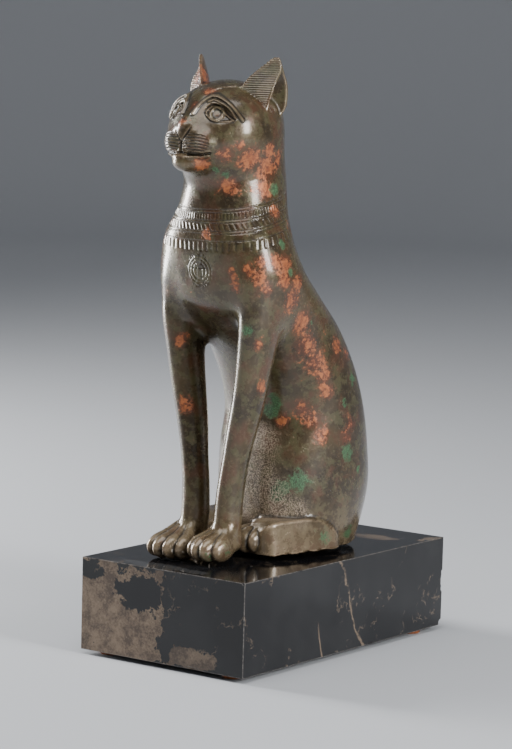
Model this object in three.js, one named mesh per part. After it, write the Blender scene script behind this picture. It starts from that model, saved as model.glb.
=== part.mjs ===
// A seated bronze cat on a polished stone plinth that stands on four small pads.
// Millimetres, +Z up. The origin is on the ground, under the middle of the plinth.
// The cat looks along -Y and its own left side is +X.
import * as THREE from 'three';

// Driving dimensions
const PAD = { diameter: 10.5, height: 2.1, sides: 28 };
const PADS = [
  { name: 'pad_front_right', x: -38, y: -74 },
  { name: 'pad_front_left', x: 36, y: -75 },
  { name: 'pad_rear_left', x: 41, y: 67 },
  { name: 'pad_rear_right', x: -38, y: 72 },
];
const PLINTH = { width: 97, depth: 168.5, height: 45, chamfer: 0.5 };
const GAP = 0.3;
const CAT_TOP = 240.8;
const CAT_TURN = THREE.MathUtils.degToRad(4);
const CAT_PIVOT = -25;
const CAT_TRIANGLES = 8400;
const EVEN_ROUNDS = 3;

const padTop = PAD.height + GAP;
const plinthTop = padTop + PLINTH.height;

// Looks
const BRONZE = { color: 0x4a3c28, roughness: 0.38, metalness: 0.85 };
const MARBLE = { color: 0x15151a, roughness: 0.16, metalness: 0 };
const PAD_FELT = { color: 0x9a5428, roughness: 0.7, metalness: 0 };

// Heights below are above the top of the plinth, in the cat's own frame before it is turned.

// Trunk and neck: height, middle along Y, half width, half depth in front and behind,
// and how square the oval is in front and behind.
const TRUNK = [
  [-8, 14, 29, 33, 30, 2.4, 2.4],
  [4, 14, 30, 34, 32, 2.4, 2.4],
  [14, 15, 32, 36, 34.5, 2.3, 2.3],
  [30, 15, 34, 37, 38.5, 2.2, 2.3],
  [50, 14, 33.8, 35, 39, 2.2, 2.25],
  [70, 11, 33.6, 28.5, 37.5, 2.0, 2.25],
  [90, 3, 33.2, 27, 37.6, 2.0, 2.25],
  [110, -8, 32.8, 32, 36, 2.1, 2.15],
  [125, -20, 34.2, 36, 32.8, 2.4, 2],
  [140, -32, 35.5, 27, 28.3, 2.7, 2],
  [155, -36, 32.3, 24.2, 25.6, 2.6, 2],
  [168, -35.5, 26.4, 23.5, 26.8, 2.15, 2],
  [182, -34, 23.6, 24.5, 25.8, 2, 2],
  [200, -36, 22.5, 24, 25, 2, 2],
  [214, -38, 20, 20, 22, 2, 2],
];
const NECK_TOP = 214;
const HEAD_MIDDLE = [0, -45, 205];

// Foreleg: height, middle along X and Y, half width, half depth in front and behind.
const LEG = [
  [2, 11, -47, 7, 8, 8],
  [12, 10.6, -46, 6.6, 7.6, 8],
  [22, 10.4, -45, 6.5, 7.4, 7.8],
  [34, 11, -44.2, 6.3, 7.4, 7.4],
  [49, 13, -43.3, 6.1, 7.6, 7.6],
  [64, 15.7, -42.2, 6.8, 8.6, 8.6],
  [78, 18.7, -41.6, 7.4, 9.4, 9.4],
  [100, 22.2, -41.5, 7.8, 10.8, 11.5],
  [118, 24.2, -41, 9, 12.5, 15],
  [140, 23, -38, 10, 15, 18],
];
const LEG_TOP = 140;
const LEG_BOTTOM = 6;
const LEG_SQUARENESS = 1.9;

// Ear: height, then the corners of its three-sided section, as X and Y each:
// the inner edge, the front ridge and the rim behind.
const EAR = [
  [203, 13, -43, 19, -42, 19, -34],
  [209, 11.5, -46.5, 22.8, -42, 23.2, -29],
  [215, 11.3, -47, 24, -40.8, 24.8, -26.8],
  [222, 11.7, -46.6, 25, -38.8, 25.2, -26.2],
  [228, 13.4, -45.2, 25.9, -37.2, 25.1, -26.8],
  [234, 17.8, -41.5, 26, -35.8, 24.2, -29.2],
  [238, 21, -38.2, 25.2, -35.2, 23.9, -31],
  [241, 23, -36, 24.2, -34.8, 23.8, -32.4],
];
const EAR_HOLLOW = { depth: 3.6, top: 238, fade: 14, bottom: 207, rise: 7, share: 0.8 };
const EAR_BACK = { bulge: 2.4, top: 241, fade: 12 };

// Toes: middle along X and Y, and the angle that each splays outwards.
const LEFT_PAW = {
  lift: 1.7,
  heel: [10, -48, 0.06],
  toes: [[4.4, -57, -0.1], [8.2, -59, -0.03], [12, -58.2, 0.05], [15.6, -54.4, 0.15]],
};
const RIGHT_PAW = {
  lift: 0.2,
  heel: [12.2, -52, 0.22],
  toes: [[4.6, -57, -0.05], [9.2, -60, 0.05], [13.9, -61, 0.15], [18.3, -59.6, 0.25]],
};
const HIND_TOES = [[7.5, -28.5, 0], [12, -29, 0], [15.9, -25.8, 0.1], [18.8, -21, 0.2]];
const HIND_LIFT = 2.8;

// The tail lies along the right side: place in the row, X, Y and radius.
const TAIL = [
  [0, 4, 44, 6.6],
  [1, -14, 43.5, 6.4],
  [2, -27.5, 33.5, 6],
  [3, -32.5, 16, 5.5],
  [4, -33, -4, 5.1],
  [5, -31.5, -20, 4.7],
  [6, -27, -31, 4.2],
];
const TAIL_LIFT = 0.4;
const TAIL_STEPS = 4;

// Lines of the face. Each point is a distance round the head from its middle, then a height.
const FACE_RADIUS = 24;
const FACE_MIDDLE = -40;
const BROW = {
  line: [[2.4, 215.4], [4.4, 219.4], [7, 221.2], [10.4, 221.3], [15, 219.2], [19, 216], [23.4, 210.4]],
  half: 2.3,
  height: 0.9,
};
const SOCKET = { x: 13.2, z: 213.9, halfX: 6.6, halfZ: 4.3, tilt: -0.32, depth: 1.7 };
const EYE = { x: 12.9, z: 213.5, halfX: 4.7, halfZ: 3.3, tilt: -0.3, height: 1.9 };
const MOUTH = {
  line: [[0, 194.4], [1.8, 193.4], [4.4, 193], [7, 193.2], [10.2, 194.2]],
  half: 1.5,
  height: -1,
};
const LIP = { line: [[0, 203.5], [0, 194.4]], half: 1.5, height: -0.9 };

// An oval ornament hangs on the chest.
const PENDANT = { z: 139.3, halfX: 7.8, halfZ: 7.6, height: 0.8 };

// The casting rests on its right forepaw and on the middle of its underside.
const UNDERSIDE = { rim: 2.6, x: 20, y: 24, middle: 16, top: 20 };

// A smooth curve through rows of values, by height.
function through(rows) {
  const width = rows[0].length - 1;
  const slope = rows.map((row, i) => {
    const value = [];
    for (let k = 1; k <= width; k += 1) {
      const before = rows[Math.max(i - 1, 0)];
      const after = rows[Math.min(i + 1, rows.length - 1)];
      const rise = (a, b) => (b[0] === a[0] ? 0 : (b[k] - a[k]) / (b[0] - a[0]));
      if (before === row) value.push(rise(row, after));
      else if (after === row) value.push(rise(before, row));
      else {
        const low = row[0] - before[0];
        const high = after[0] - row[0];
        value.push((rise(before, row) * high + rise(row, after) * low) / (low + high));
      }
    }
    return value;
  });
  let lastHeight = NaN;
  let last = null;
  return (height) => {
    if (height === lastHeight) return last;
    lastHeight = height;
    const h = Math.min(Math.max(height, rows[0][0]), rows[rows.length - 1][0]);
    let i = 0;
    while (i < rows.length - 2 && h > rows[i + 1][0]) i += 1;
    const span = rows[i + 1][0] - rows[i][0];
    const t = (h - rows[i][0]) / span;
    const start = 2 * t ** 3 - 3 * t ** 2 + 1;
    const leave = (t ** 3 - 2 * t ** 2 + t) * span;
    const arrive = (t ** 3 - t ** 2) * span;
    last = [];
    for (let k = 0; k < width; k += 1) {
      const low = rows[i][k + 1] * start + slope[i][k] * leave;
      last.push(low + rows[i + 1][k + 1] * (1 - start) + slope[i + 1][k] * arrive);
    }
    return last;
  };
}

// Distances are negative inside a form. A blend joins two forms with a fillet.
function blend(a, b, fillet) {
  const h = Math.max(fillet - Math.abs(a - b), 0) / fillet;
  return Math.min(a, b) - h * h * fillet * 0.25;
}

function cut(a, b, fillet) {
  return -blend(-a, -b, fillet);
}

function clamp(value, low, high) {
  return Math.min(Math.max(value, low), high);
}

// Distance to an egg shape given by its middle and its three half sizes,
// turned about the upright by yaw and then nose down by pitch.
function egg(x, y, z, middle, half, pitch = 0, yaw = 0) {
  const cy = Math.cos(yaw);
  const sy = Math.sin(yaw);
  const cp = Math.cos(pitch);
  const sp = Math.sin(pitch);
  const u = (x - middle[0]) * cy + (y - middle[1]) * sy;
  const along = -(x - middle[0]) * sy + (y - middle[1]) * cy;
  const v = along * cp + (z - middle[2]) * sp;
  const w = -along * sp + (z - middle[2]) * cp;
  const near = Math.hypot(u / half[0], v / half[1], w / half[2]);
  const steep = Math.hypot(u / half[0] ** 2, v / half[1] ** 2, w / half[2] ** 2) + 1e-9;
  return (near * (near - 1)) / steep;
}

// Distance in plan to an oval whose squareness runs from a diamond to a box.
function oval(x, y, halfX, halfY, squareness) {
  const u = Math.abs(x) / halfX;
  const v = Math.abs(y) / halfY;
  const n = squareness;
  const size = (u ** n + v ** n) ** (1 / n) + 1e-9;
  const steep = size ** (1 - n) * Math.hypot(u ** (n - 1) / halfX, v ** (n - 1) / halfY);
  return (size - 1) / (steep + 1e-9);
}

// Distance to a rod with round ends and a radius at each.
function rod(x, y, z, from, to, radiusFrom, radiusTo) {
  const d = [to[0] - from[0], to[1] - from[1], to[2] - from[2]];
  const p = [x - from[0], y - from[1], z - from[2]];
  const dot = p[0] * d[0] + p[1] * d[1] + p[2] * d[2];
  const t = clamp(dot / (d[0] ** 2 + d[1] ** 2 + d[2] ** 2), 0, 1);
  const away = Math.hypot(p[0] - d[0] * t, p[1] - d[1] * t, p[2] - d[2] * t);
  return away - radiusFrom - (radiusTo - radiusFrom) * t;
}

const trunkAt = through(TRUNK);
const legAt = through(LEG);
const earAt = through(EAR);
const tailAt = through(TAIL);
const tailRoute = [];
for (let i = 0; i <= (TAIL.length - 1) * TAIL_STEPS; i += 1) tailRoute.push(tailAt(i / TAIL_STEPS));

function trunk(x, y, z) {
  const [middle, half, front, back, squareFront, squareBack] = trunkAt(z);
  const ahead = y < middle;
  const body = oval(x, y - middle, half, ahead ? front : back, ahead ? squareFront : squareBack);
  return cut(body, z - NECK_TOP, 6);
}

function foreleg(x, y, z) {
  const [middleX, middleY, half, front, back] = legAt(z);
  const leg = oval(x - middleX, y - middleY, half, y < middleY ? front : back, LEG_SQUARENESS);
  return cut(cut(leg, z - LEG_TOP, 10), LEG_BOTTOM - z, 4);
}

function forepaw(x, y, z, { lift, heel, toes }) {
  let paw = egg(x, y, z, [heel[0], heel[1], 9 + lift], [6.6, 13.5, 8.2], 0.22, heel[2]);
  for (const [toeX, toeY, splay] of toes) {
    const toe = egg(x, y, z, [toeX, toeY, 5.9 + lift], [4.3, 8.6, 5.9], 0.1, splay);
    paw = blend(paw, toe, 1.8);
  }
  return paw;
}

function hindFoot(x, y, z) {
  let foot = egg(x, y, z, [22.3, 0, 7.2 + HIND_LIFT], [8.2, 29, 7.4], 0, -0.145);
  for (const [toeX, toeY, splay] of HIND_TOES) {
    const toe = egg(x, y, z, [toeX, toeY, 6.2 + HIND_LIFT], [4.2, 10, 6.6], 0.08, splay);
    foot = blend(foot, toe, 1.8);
  }
  return foot;
}

// The skull, cheeks, muzzle, whisker pads, chin and the bridge of the nose.
function head(x, y, z) {
  const side = Math.abs(x);
  let form = egg(x, y, z, [0, -40, 209], [24.5, 25, 20]);
  form = blend(form, egg(x, y, z, [0, -49, 203], [23.5, 18, 17]), 8);
  form = blend(form, egg(x, y, z, [0, -59, 199], [14, 13.5, 11.5]), 10);
  form = blend(form, egg(side, y, z, [6.9, -66.2, 199.8], [6.9, 7.6, 6.2]), 2.5);
  form = blend(form, egg(x, y, z, [0, -66.8, 190.9], [7.8, 8.2, 5.2]), 3);
  return blend(form, rod(x, y, z, [0, -69.3, 207.4], [0, -57, 217], 3.1, 5.2), 5);
}

// A three-sided spike: a flat front panel, a hollow towards the side and a rounded back.
function ear(x, y, z) {
  const [innerX, innerY, ridgeX, ridgeY, rimX, rimY] = earAt(z);
  const wall = (fromX, fromY, toX, toY) => {
    const dx = toX - fromX;
    const dy = toY - fromY;
    const long = Math.hypot(dx, dy);
    const away = ((x - fromX) * dy - (y - fromY) * dx) / long;
    const along = ((x - fromX) * dx + (y - fromY) * dy) / long;
    return [away, (2 * along) / long - 1];
  };
  const [front] = wall(innerX, innerY, ridgeX, ridgeY);
  let [hollow, place] = wall(ridgeX, ridgeY, rimX, rimY);
  place /= EAR_HOLLOW.share;
  const topFade = clamp((EAR_HOLLOW.top - z) / EAR_HOLLOW.fade, 0, 1);
  const lowFade = clamp((z - EAR_HOLLOW.bottom) / EAR_HOLLOW.rise, 0, 1);
  hollow += EAR_HOLLOW.depth * topFade * lowFade * Math.max(0, 1 - place * place);
  let [back, across] = wall(rimX, rimY, innerX, innerY);
  const backFade = clamp((EAR_BACK.top - z) / EAR_BACK.fade, 0, 1);
  back -= EAR_BACK.bulge * backFade * Math.max(0, 1 - across * across);
  const spike = cut(cut(front, hollow, 1), back, 1.6);
  return cut(cut(spike, EAR[0][0] + 1 - z, 1), z - CAT_TOP, 1.5);
}

// Distance in a plane to a line through points.
function toLine(u, v, line) {
  let least = Infinity;
  for (let i = 1; i < line.length; i += 1) {
    const [fromU, fromV] = line[i - 1];
    const du = line[i][0] - fromU;
    const dv = line[i][1] - fromV;
    const t = clamp(((u - fromU) * du + (v - fromV) * dv) / (du * du + dv * dv), 0, 1);
    least = Math.min(least, Math.hypot(u - fromU - du * t, v - fromV - dv * t));
  }
  return least;
}

// A low mound, one high in its middle and nothing at its edge.
function mound(share) {
  return share < 1 ? (1 - share * share) ** 2 : 0;
}

// How far the carving of the face stands out from the head.
function faceRelief(x, y, z) {
  const u = FACE_RADIUS * Math.atan2(Math.abs(x), FACE_MIDDLE - y);
  let height = 0;
  for (const { line, half, height: full } of [BROW, MOUTH, LIP]) {
    height += full * mound(toLine(u, z, line) / half);
  }
  const share = (place) => {
    const c = Math.cos(place.tilt);
    const s = Math.sin(place.tilt);
    const along = (u - place.x) * c + (z - place.z) * s;
    const across = -(u - place.x) * s + (z - place.z) * c;
    return Math.hypot(along / place.halfX, across / place.halfZ);
  };
  height -= SOCKET.depth * mound(share(SOCKET) ** 2);
  return height + EYE.height * Math.sqrt(Math.max(0, 1 - share(EYE) ** 2));
}

function tail(x, y, z) {
  let form = Infinity;
  for (let i = 1; i < tailRoute.length; i += 1) {
    const [fromX, fromY, fromR] = tailRoute[i - 1];
    const [toX, toY, toR] = tailRoute[i];
    const from = [fromX, fromY, fromR + TAIL_LIFT];
    form = Math.min(form, rod(x, y, z, from, [toX, toY, toR + TAIL_LIFT], fromR, toR));
  }
  return form;
}

// The whole casting. Forms that end well below or above a height are passed over there.
const FEET_TOP = 34;
const LEG_END = LEG_TOP + 12;
const HEAD_BOTTOM = 172;
const FACE_BOTTOM = 185;

function cat(x, y, z) {
  const side = Math.abs(x);
  let form = trunk(x, y, z);
  if (z < LEG_END) form = blend(form, foreleg(side, y, z), 8);
  if (z < FEET_TOP) {
    form = blend(form, hindFoot(side, y, z), 2);
    form = cut(form, UNDERSIDE.rim - z, 1.2);
    const rest = oval(x, y - UNDERSIDE.middle, UNDERSIDE.x, UNDERSIDE.y, 2.5);
    form = blend(form, cut(rest, z - UNDERSIDE.top, 2), 1.5);
    const paws = blend(forepaw(x, y, z, LEFT_PAW), forepaw(-x, y, z, RIGHT_PAW), 1.5);
    form = blend(form, paws, 3);
    form = blend(form, tail(x, y, z), 2);
    return cut(form, GAP - z, 0.8);
  }
  if (z > HEAD_BOTTOM) {
    form = blend(form, head(x, y, z), 10);
    if (z > FACE_BOTTOM && y < -50) form -= faceRelief(x, y, z);
    return blend(form, ear(side, y, z), 2.5);
  }
  if (y < FACE_MIDDLE) {
    const share = Math.hypot(x / PENDANT.halfX, (z - PENDANT.z) / PENDANT.halfZ);
    form -= PENDANT.height * Math.sqrt(Math.max(0, 1 - share ** 4));
  }
  return form;
}

// Grid lines up from the lowest, closer together where the form is finer.
function gridLines(low, parts) {
  const list = [low];
  for (const [until, cell] of parts) {
    const start = list[list.length - 1];
    const count = Math.round((until - start) / cell);
    for (let i = 1; i <= count; i += 1) list.push(start + ((until - start) * i) / count);
  }
  return list;
}

const GRID = [
  gridLines(-42, [[42, 1.5]]),
  gridLines(-79, [[-24, 1.3], [58, 2]]),
  gridLines(-1, [[18, 1.3], [183, 2], [243, 1.15]]),
];

// Six four-cornered wedges share the long diagonal of each cell, so the skin has no gaps.
const WEDGES = [[0, 1, 3, 7], [0, 3, 2, 7], [0, 2, 6, 7], [0, 6, 4, 7], [0, 4, 5, 7], [0, 5, 1, 7]];

// The skin of a form, found by walking over its surface from one cell to the next.
function skin(field, grid, inside) {
  const [nx, ny, nz] = grid.map((list) => list.length);
  const value = new Float64Array(nx * ny * nz).fill(NaN);
  const corner = (id) => [
    grid[0][id % nx],
    grid[1][Math.floor(id / nx) % ny],
    grid[2][Math.floor(id / (nx * ny))],
  ];
  const at = (id) => {
    if (Number.isNaN(value[id])) value[id] = field(...corner(id));
    return value[id];
  };
  const points = [];
  const faces = [];
  const known = new Map();
  const crossing = (a, b) => {
    const key = Math.min(a, b) * value.length + Math.max(a, b);
    if (known.has(key)) return known.get(key);
    const t = clamp(value[a] / (value[a] - value[b]), 0.08, 0.92);
    const from = corner(a);
    const to = corner(b);
    points.push(from.map((v, i) => v + (to[i] - v) * t));
    known.set(key, points.length - 1);
    return points.length - 1;
  };
  const face = (p, q, r, inner, outer) => {
    const [a, b, c] = [points[p], points[q], points[r]];
    const u = b.map((v, i) => v - a[i]);
    const w = c.map((v, i) => v - a[i]);
    const n = [u[1] * w[2] - u[2] * w[1], u[2] * w[0] - u[0] * w[2], u[0] * w[1] - u[1] * w[0]];
    const from = corner(inner);
    const to = corner(outer);
    const out = n[0] * (to[0] - from[0]) + n[1] * (to[1] - from[1]) + n[2] * (to[2] - from[2]);
    faces.push(out > 0 ? [p, q, r] : [p, r, q]);
  };
  const skinWedge = (ends) => {
    const inner = ends.filter((id) => value[id] < 0);
    const outer = ends.filter((id) => value[id] >= 0);
    if (inner.length === 1 || outer.length === 1) {
      const one = inner.length === 1 ? inner[0] : outer[0];
      const three = inner.length === 1 ? outer : inner;
      const [p, q, r] = three.map((id) => crossing(one, id));
      face(p, q, r, inner[0], outer[0]);
    } else if (inner.length === 2) {
      const p = crossing(inner[0], outer[0]);
      const q = crossing(inner[0], outer[1]);
      const r = crossing(inner[1], outer[1]);
      const s = crossing(inner[1], outer[0]);
      face(p, q, r, inner[0], outer[1]);
      face(p, r, s, inner[0], outer[0]);
    }
  };
  const start = inside.map((v, i) => grid[i].findIndex((line) => line >= v));
  let first = start[0] + nx * (start[1] + ny * start[2]);
  while (at(first + nx * ny) < 0) first += nx * ny;
  const seen = new Uint8Array(value.length);
  const queue = [first];
  seen[first] = 1;
  while (queue.length) {
    const cell = queue.pop();
    const ids = [];
    for (let c = 0; c < 8; c += 1) {
      ids.push(cell + (c & 1) + nx * ((c >> 1) & 1) + nx * ny * ((c >> 2) & 1));
    }
    const full = ids.filter((id) => at(id) < 0).length;
    if (full === 0 || full === 8) continue;
    WEDGES.forEach((wedge) => skinWedge(wedge.map((c) => ids[c])));
    for (const next of [cell - 1, cell + 1, cell - nx, cell + nx, cell - nx * ny, cell + nx * ny]) {
      if (!seen[next]) {
        seen[next] = 1;
        queue.push(next);
      }
    }
  }
  return { points, faces };
}

// Moves each point straight onto the surface.
function settle(field, points, rounds) {
  const step = 0.05;
  for (let round = 0; round < rounds; round += 1) {
    for (const p of points) {
      const d = field(p[0], p[1], p[2]);
      const n = [
        (field(p[0] + step, p[1], p[2]) - field(p[0] - step, p[1], p[2])) / (2 * step),
        (field(p[0], p[1] + step, p[2]) - field(p[0], p[1] - step, p[2])) / (2 * step),
        (field(p[0], p[1], p[2] + step) - field(p[0], p[1], p[2] - step)) / (2 * step),
      ];
      const steep = Math.max(n[0] ** 2 + n[1] ** 2 + n[2] ** 2, 0.25);
      const move = clamp(d / steep, -0.6, 0.6);
      for (let i = 0; i < 3; i += 1) p[i] -= n[i] * move;
    }
  }
}

// Moves each point towards the middle of its neighbours, so that they lie evenly.
function relax(points, faces) {
  const sums = points.map(() => [0, 0, 0, 0]);
  for (const f of faces) {
    f.forEach((p, i) => {
      const next = points[f[(i + 1) % 3]];
      sums[p][0] += next[0];
      sums[p][1] += next[1];
      sums[p][2] += next[2];
      sums[p][3] += 1;
    });
  }
  points.forEach((p, id) => {
    const [x, y, z, count] = sums[id];
    p[0] += 0.6 * (x / count - p[0]);
    p[1] += 0.6 * (y / count - p[1]);
    p[2] += 0.6 * (z / count - p[2]);
  });
}

// Joins the ends of the edge that costs the surface least, again and again,
// and never turns a face over or pinches the skin.
function thin(points, faces, target) {
  const around = points.map(() => new Set());
  faces.forEach((f, id) => f.forEach((p) => around[p].add(id)));
  const normal = (f, moved, place) => {
    const [a, b, c] = f.map((p) => (p === moved ? place : points[p]));
    const u = [b[0] - a[0], b[1] - a[1], b[2] - a[2]];
    const w = [c[0] - a[0], c[1] - a[1], c[2] - a[2]];
    return [u[1] * w[2] - u[2] * w[1], u[2] * w[0] - u[0] * w[2], u[0] * w[1] - u[1] * w[0]];
  };
  const quadric = points.map(() => new Float64Array(10));
  for (const f of faces) {
    const n = normal(f, -1, null);
    const long = Math.hypot(...n);
    if (long < 1e-9) continue;
    const [a, b, c] = n.map((v) => v / long);
    const p = points[f[0]];
    const d = -(a * p[0] + b * p[1] + c * p[2]);
    const rows = [a * a, a * b, a * c, a * d, b * b, b * c, b * d, c * c, c * d, d * d];
    for (const v of f) rows.forEach((value, i) => { quadric[v][i] += value * long; });
  }
  const error = (q, p) => {
    const [x, y, z] = p;
    const across = q[0] * x * x + q[4] * y * y + q[7] * z * z;
    const mixed = 2 * (q[1] * x * y + q[2] * x * z + q[5] * y * z);
    return across + mixed + 2 * (q[3] * x + q[6] * y + q[8] * z) + q[9];
  };
  const best = (a, b) => {
    const q = quadric[a].map((v, i) => v + quadric[b][i]);
    const middle = points[a].map((v, i) => (v + points[b][i]) / 2);
    const choices = [points[a], points[b], middle];
    const m = [q[4] * q[7] - q[5] * q[5], q[2] * q[5] - q[1] * q[7], q[1] * q[5] - q[2] * q[4]];
    const det = q[0] * m[0] + q[1] * m[1] + q[2] * m[2];
    const size = q[0] + q[4] + q[7];
    if (Math.abs(det) > 1e-4 * size ** 3) {
      const n = [q[0] * q[7] - q[2] * q[2], q[1] * q[2] - q[0] * q[5], q[0] * q[4] - q[1] * q[1]];
      const x = -(m[0] * q[3] + m[1] * q[6] + m[2] * q[8]) / det;
      const y = -(m[1] * q[3] + n[0] * q[6] + n[1] * q[8]) / det;
      const z = -(m[2] * q[3] + n[1] * q[6] + n[2] * q[8]) / det;
      choices.push([x, y, z]);
    }
    let place = null;
    let cost = Infinity;
    for (const choice of choices) {
      const reach = Math.hypot(...choice.map((v, i) => v - middle[i]));
      const total = error(q, choice) + 1e-3 * reach;
      if (reach < 8 && total < cost) [place, cost] = [choice, total];
    }
    return [cost, place];
  };
  const heap = [];
  const push = (item) => {
    let i = heap.push(item) - 1;
    while (i > 0) {
      const up = (i - 1) >> 1;
      if (heap[up][0] <= heap[i][0]) break;
      [heap[up], heap[i]] = [heap[i], heap[up]];
      i = up;
    }
  };
  const pop = () => {
    const top = heap[0];
    const last = heap.pop();
    if (heap.length) {
      heap[0] = last;
      let i = 0;
      for (;;) {
        let least = i;
        for (const c of [2 * i + 1, 2 * i + 2]) {
          if (c < heap.length && heap[c][0] < heap[least][0]) least = c;
        }
        if (least === i) break;
        [heap[least], heap[i]] = [heap[i], heap[least]];
        i = least;
      }
    }
    return top;
  };
  const age = new Int32Array(points.length);
  const offer = (a, b) => {
    const [cost, place] = best(a, b);
    push([cost, a, b, age[a], age[b], place]);
  };
  const beside = (p) => {
    const list = new Set();
    for (const id of around[p]) faces[id].forEach((v) => list.add(v));
    list.delete(p);
    return list;
  };
  points.forEach((_, p) => beside(p).forEach((v) => { if (v > p) offer(p, v); }));
  let left = faces.length;
  while (left > target && heap.length) {
    const [, a, b, ageA, ageB, place] = pop();
    if (age[a] !== ageA || age[b] !== ageB) continue;
    const nextA = beside(a);
    const shared = [...beside(b)].filter((v) => nextA.has(v));
    if (shared.length !== 2) continue;
    const turns = (keep, drop) => [...around[keep]].some((id) => {
      if (faces[id].includes(drop)) return false;
      const before = normal(faces[id], -1, null);
      const after = normal(faces[id], keep, place);
      const dot = before[0] * after[0] + before[1] * after[1] + before[2] * after[2];
      return dot < 0.3 * Math.hypot(...before) * Math.hypot(...after) + 1e-9;
    });
    if (turns(a, b) || turns(b, a)) continue;
    points[a] = place;
    for (const id of [...around[b]]) {
      if (faces[id].includes(a)) {
        faces[id].forEach((v) => around[v].delete(id));
        faces[id] = null;
        left -= 1;
      } else {
        faces[id] = faces[id].map((v) => (v === b ? a : v));
        around[a].add(id);
      }
    }
    around[b].clear();
    quadric[a] = quadric[a].map((v, i) => v + quadric[b][i]);
    age[a] += 1;
    age[b] = -1;
    beside(a).forEach((v) => offer(Math.min(a, v), Math.max(a, v)));
  }
  return faces.filter((f) => f);
}

function toGeometry(points, faces) {
  const geometry = new THREE.BufferGeometry();
  geometry.setAttribute('position', new THREE.Float32BufferAttribute(points.flat(), 3));
  geometry.setIndex(faces.flat());
  geometry.computeVertexNormals();
  return geometry;
}

function makeCat() {
  const { points, faces } = skin(cat, GRID, HEAD_MIDDLE);
  for (let round = 0; round < EVEN_ROUNDS; round += 1) {
    relax(points, faces);
    settle(cat, points, 1);
  }
  const kept = thin(points, faces, CAT_TRIANGLES);
  const mesh = new THREE.Mesh(toGeometry(points, kept), new THREE.MeshStandardMaterial(BRONZE));
  mesh.name = 'cat';
  // The cat is turned a little on its plinth, about a point between its legs.
  mesh.rotation.z = -CAT_TURN;
  const c = Math.cos(CAT_TURN);
  const s = Math.sin(CAT_TURN);
  mesh.position.set(-CAT_PIVOT * s, CAT_PIVOT - CAT_PIVOT * c, plinthTop);
  return mesh;
}

function makePlinth() {
  const { width, depth, height, chamfer } = PLINTH;
  const outline = new THREE.Shape();
  const x = width / 2 - chamfer;
  const y = depth / 2 - chamfer;
  outline.moveTo(-x, -y).lineTo(x, -y).lineTo(x, y).lineTo(-x, y).closePath();
  const geometry = new THREE.ExtrudeGeometry(outline, {
    depth: height - 2 * chamfer,
    bevelEnabled: true,
    bevelThickness: chamfer,
    bevelSize: chamfer,
    bevelSegments: 1,
  });
  const mesh = new THREE.Mesh(geometry, new THREE.MeshStandardMaterial(MARBLE));
  mesh.name = 'plinth';
  mesh.position.z = padTop + chamfer;
  return mesh;
}

function makePad({ name, x, y }) {
  const geometry = new THREE.CylinderGeometry(
    PAD.diameter / 2, PAD.diameter / 2, PAD.height, PAD.sides,
  );
  const mesh = new THREE.Mesh(geometry, new THREE.MeshStandardMaterial(PAD_FELT));
  mesh.name = name;
  mesh.rotation.x = Math.PI / 2;
  mesh.position.set(x, y, PAD.height / 2);
  return mesh;
}

const figure = new THREE.Group();
figure.add(makeCat(), makePlinth(), ...PADS.map(makePad));

export default figure;
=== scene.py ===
import math
import bpy
import numpy as np
from mathutils import Matrix, Vector


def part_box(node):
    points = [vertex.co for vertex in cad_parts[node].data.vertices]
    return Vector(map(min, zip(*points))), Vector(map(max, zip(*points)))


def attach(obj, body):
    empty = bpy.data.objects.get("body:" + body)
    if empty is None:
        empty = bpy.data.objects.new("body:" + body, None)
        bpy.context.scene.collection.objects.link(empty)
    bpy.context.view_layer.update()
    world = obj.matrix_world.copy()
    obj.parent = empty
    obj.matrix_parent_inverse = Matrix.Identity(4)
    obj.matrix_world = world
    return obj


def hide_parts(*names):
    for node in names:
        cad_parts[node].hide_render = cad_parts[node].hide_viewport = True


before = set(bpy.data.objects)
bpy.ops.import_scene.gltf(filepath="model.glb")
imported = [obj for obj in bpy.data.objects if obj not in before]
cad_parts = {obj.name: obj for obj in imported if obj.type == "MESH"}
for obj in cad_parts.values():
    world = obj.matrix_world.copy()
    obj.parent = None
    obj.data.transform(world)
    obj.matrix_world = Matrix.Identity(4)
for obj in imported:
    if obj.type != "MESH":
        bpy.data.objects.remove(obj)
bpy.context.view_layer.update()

# The camera stands in front of the cat and to its left, a little above the plinth, with a long lens.
# It leans a degree and a half, as the photographer's did.
camera_azimuth, camera_elevation, camera_lean = np.radians([36.17, 7.09, 1.49])
camera_place = (0.85163, -1.17849, 0.31326)
camera_back = Vector((
    math.sin(camera_azimuth) * math.cos(camera_elevation),
    -math.cos(camera_azimuth) * math.cos(camera_elevation),
    math.sin(camera_elevation),
))
level_right = Vector((math.cos(camera_azimuth), math.sin(camera_azimuth), 0))
level_up = camera_back.cross(level_right)
camera_right = level_right * math.cos(camera_lean) + level_up * math.sin(camera_lean)
camera_up = camera_back.cross(camera_right)
camera = bpy.data.objects.new("camera", bpy.data.cameras.new("camera"))
camera.matrix_world = Matrix.Translation(camera_place) @ Matrix(
    (camera_right, camera_up, camera_back)
).transposed().to_4x4()
camera.data.lens = 144.2
camera.data.clip_end = 20
bpy.context.scene.collection.objects.link(camera)
bpy.context.scene.camera = camera


# The cat is a hollow casting in bronze with a dark patina. Its whole skin is one smooth form,
# with the paws, ears, brows, collar and tail cast on, and the finest lines engraved afterwards.
# All its sizes are millimetres above the plinth, and it is turned a little on it.
MM = 0.001
plinth_low, plinth_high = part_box("plinth")
cat_turn = math.radians(4)
cat_pivot = -25.0

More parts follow.
